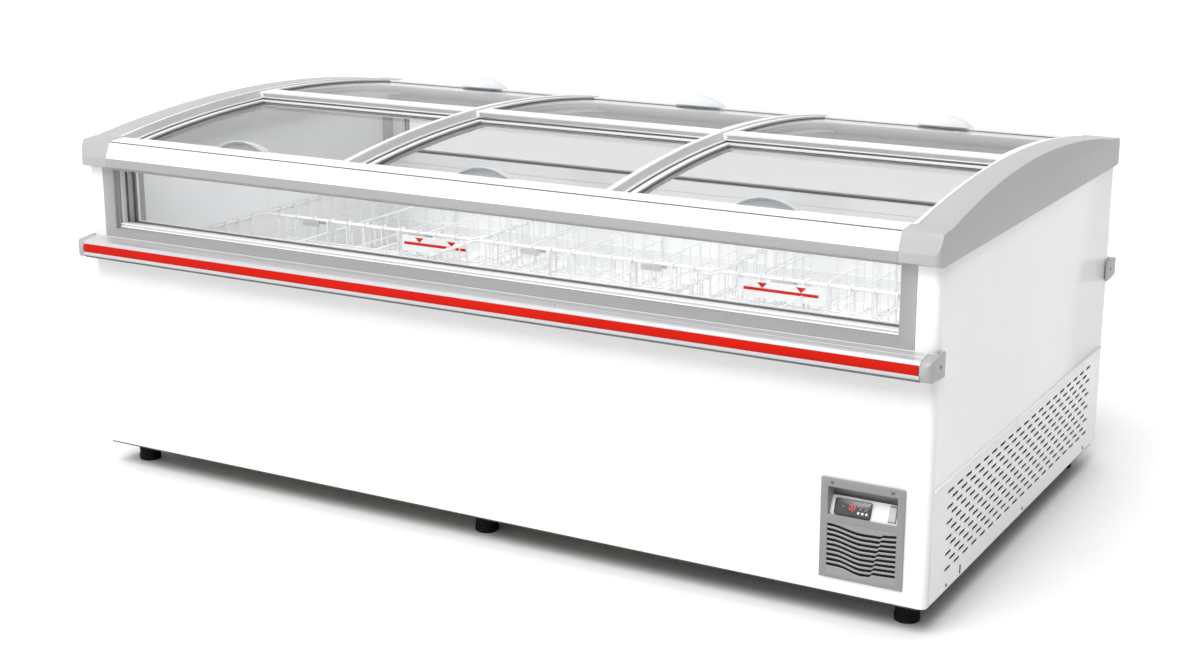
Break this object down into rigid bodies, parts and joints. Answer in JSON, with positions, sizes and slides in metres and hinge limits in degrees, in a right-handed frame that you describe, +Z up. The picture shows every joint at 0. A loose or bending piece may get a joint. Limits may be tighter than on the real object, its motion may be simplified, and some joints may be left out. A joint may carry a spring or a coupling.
{
  "type": "chest freezer",
  "caption": "Island chest freezer with curved sliding glass lids over a basketed tank, windows front and rear, bumper rails and a control panel with an air grille.",
  "frame": {"origin": "on the floor under the middle of the freezer, at the middle of its bounding box's bottom", "axes": "+X along the length towards the control panel's end, -Y towards the front with the control panel, +Z up"},
  "size_m": [1.864, 1.146, 0.75],
  "materials": {
    "black_steel": "satin",
    "black_plastic": "matte",
    "zinc_steel": "satin",
    "white_steel": "satin",
    "white_plastic": "gloss",
    "foam": "matte",
    "liner": "satin",
    "copper": "satin",
    "grey_aluminium": "satin",
    "window_glass": "gloss",
    "cap_plastic": "satin",
    "red_plastic": "satin",
    "grey_plastic": "satin",
    "thermostat_case": "gloss",
    "switch_grey": "satin",
    "screw_steel": "satin",
    "compressor_paint": "gloss",
    "fin_aluminium": "satin",
    "motor_steel": "satin",
    "fan_plastic": "satin",
    "button_plastic": "gloss",
    "basket_wire": "satin",
    "lid_plastic": "satin",
    "lid_glass": "gloss",
    "handle_plastic": "gloss"
  },
  "bodies": {
    "cabinet": {"base_frame": "black_steel", "levelling_feet": "black_plastic", "cable_gland": "black_plastic", "foot_studs": "zinc_steel", "fan_shroud": "zinc_steel", "front_panel": "white_steel", "rear_panel": "white_steel", "side_panels": "white_steel", "vent_panels": "white_steel", "corner_posts": "white_plastic", "window_beads": "white_plastic", "top_trims": "white_plastic", "control_plate": "white_plastic", "insulation_foam": "foam", "inner_liner": "liner", "evaporator_tube": "copper", "refrigerant_pipes": "copper", "window_frames": "grey_aluminium", "top_profiles": "grey_aluminium", "bumper_rails": "grey_aluminium", "lid_rails": "grey_aluminium", "window_glass": "window_glass", "end_caps": "cap_plastic", "bumper_inserts": "red_plastic", "bumper_end_caps": "grey_plastic", "control_bezel": "grey_plastic", "thermostat": "thermostat_case", "panel_screws": "screw_steel", "compressor": "compressor_paint", "condenser": "fin_aluminium", "fan_motor": "motor_steel"},
    "front_lid_left": {"front_lid_left_frame": "lid_plastic", "front_lid_left_glass": "lid_glass", "front_lid_left_handle": "handle_plastic"},
    "rear_lid_left": {"rear_lid_left_frame": "lid_plastic", "rear_lid_left_glass": "lid_glass", "rear_lid_left_handle": "handle_plastic"},
    "front_lid_middle": {"front_lid_middle_frame": "lid_plastic", "front_lid_middle_glass": "lid_glass", "front_lid_middle_handle": "handle_plastic"},
    "rear_lid_middle": {"rear_lid_middle_frame": "lid_plastic", "rear_lid_middle_glass": "lid_glass", "rear_lid_middle_handle": "handle_plastic"},
    "front_lid_right": {"front_lid_right_frame": "lid_plastic", "front_lid_right_glass": "lid_glass", "front_lid_right_handle": "handle_plastic"},
    "rear_lid_right": {"rear_lid_right_frame": "lid_plastic", "rear_lid_right_glass": "lid_glass", "rear_lid_right_handle": "handle_plastic"},
    "front_basket_left": {"front_basket_left": "basket_wire"},
    "rear_basket_left": {"rear_basket_left": "basket_wire"},
    "front_basket_middle": {"front_basket_middle": "basket_wire"},
    "rear_basket_middle": {"rear_basket_middle": "basket_wire"},
    "front_basket_right": {"front_basket_right": "basket_wire"},
    "rear_basket_right": {"rear_basket_right": "basket_wire"},
    "condenser_fan": {"fan_blade": "fan_plastic"},
    "button_1": {"thermostat_button_1": "button_plastic"},
    "button_2": {"thermostat_button_2": "button_plastic"},
    "button_3": {"thermostat_button_3": "button_plastic"},
    "rocker": {"power_rocker": "switch_grey"}
  },
  "joints": [
    {"name": "front_lid_left_slide", "type": "hinge", "parent": "cabinet", "child": "front_lid_left", "pos_m": [-0.58, 0, -2.3], "axis": [-1, 0, 0], "range_deg": [0, 6.4]},
    {"name": "rear_lid_left_slide", "type": "hinge", "parent": "cabinet", "child": "rear_lid_left", "pos_m": [-0.58, 0, -2.3], "axis": [-1, 0, 0], "range_deg": [-6.4, 0]},
    {"name": "front_lid_middle_slide", "type": "hinge", "parent": "cabinet", "child": "front_lid_middle", "pos_m": [0, 0, -2.3], "axis": [-1, 0, 0], "range_deg": [0, 6.4]},
    {"name": "rear_lid_middle_slide", "type": "hinge", "parent": "cabinet", "child": "rear_lid_middle", "pos_m": [0, 0, -2.3], "axis": [-1, 0, 0], "range_deg": [-6.4, 0]},
    {"name": "front_lid_right_slide", "type": "hinge", "parent": "cabinet", "child": "front_lid_right", "pos_m": [0.58, 0, -2.3], "axis": [-1, 0, 0], "range_deg": [0, 6.4]},
    {"name": "rear_lid_right_slide", "type": "hinge", "parent": "cabinet", "child": "rear_lid_right", "pos_m": [0.58, 0, -2.3], "axis": [-1, 0, 0], "range_deg": [-6.4, 0]},
    {"name": "front_basket_left_lift", "type": "slide", "parent": "cabinet", "child": "front_basket_left", "axis": [0, 0, 1], "range_m": [0, 0.18]},
    {"name": "rear_basket_left_lift", "type": "slide", "parent": "cabinet", "child": "rear_basket_left", "axis": [0, 0, 1], "range_m": [0, 0.18]},
    {"name": "front_basket_middle_lift", "type": "slide", "parent": "cabinet", "child": "front_basket_middle", "axis": [0, 0, 1], "range_m": [0, 0.18]},
    {"name": "rear_basket_middle_lift", "type": "slide", "parent": "cabinet", "child": "rear_basket_middle", "axis": [0, 0, 1], "range_m": [0, 0.18]},
    {"name": "front_basket_right_lift", "type": "slide", "parent": "cabinet", "child": "front_basket_right", "axis": [0, 0, 1], "range_m": [0, 0.18]},
    {"name": "rear_basket_right_lift", "type": "slide", "parent": "cabinet", "child": "rear_basket_right", "axis": [0, 0, 1], "range_m": [0, 0.18]},
    {"name": "fan_spin", "type": "hinge", "parent": "cabinet", "child": "condenser_fan", "pos_m": [0.787, -0.12, 0.168], "axis": [1, 0, 0], "continuous": true},
    {"name": "button_1_press", "type": "slide", "parent": "cabinet", "child": "button_1", "axis": [0, 0.9131, -0.4077], "range_m": [0, 0.0008], "stiffness_N_per_m": 800, "springref_m": -0.0005},
    {"name": "button_2_press", "type": "slide", "parent": "cabinet", "child": "button_2", "axis": [0, 0.9131, -0.4077], "range_m": [0, 0.0008], "stiffness_N_per_m": 800, "springref_m": -0.0005},
    {"name": "button_3_press", "type": "slide", "parent": "cabinet", "child": "button_3", "axis": [0, 0.9131, -0.4077], "range_m": [0, 0.0008], "stiffness_N_per_m": 800, "springref_m": -0.0005},
    {"name": "rocker_tip", "type": "hinge", "parent": "cabinet", "child": "rocker", "pos_m": [0.8575, -0.51535, 0.20927], "axis": [1, 0, 0], "range_deg": [-14, 0]}
  ]
}
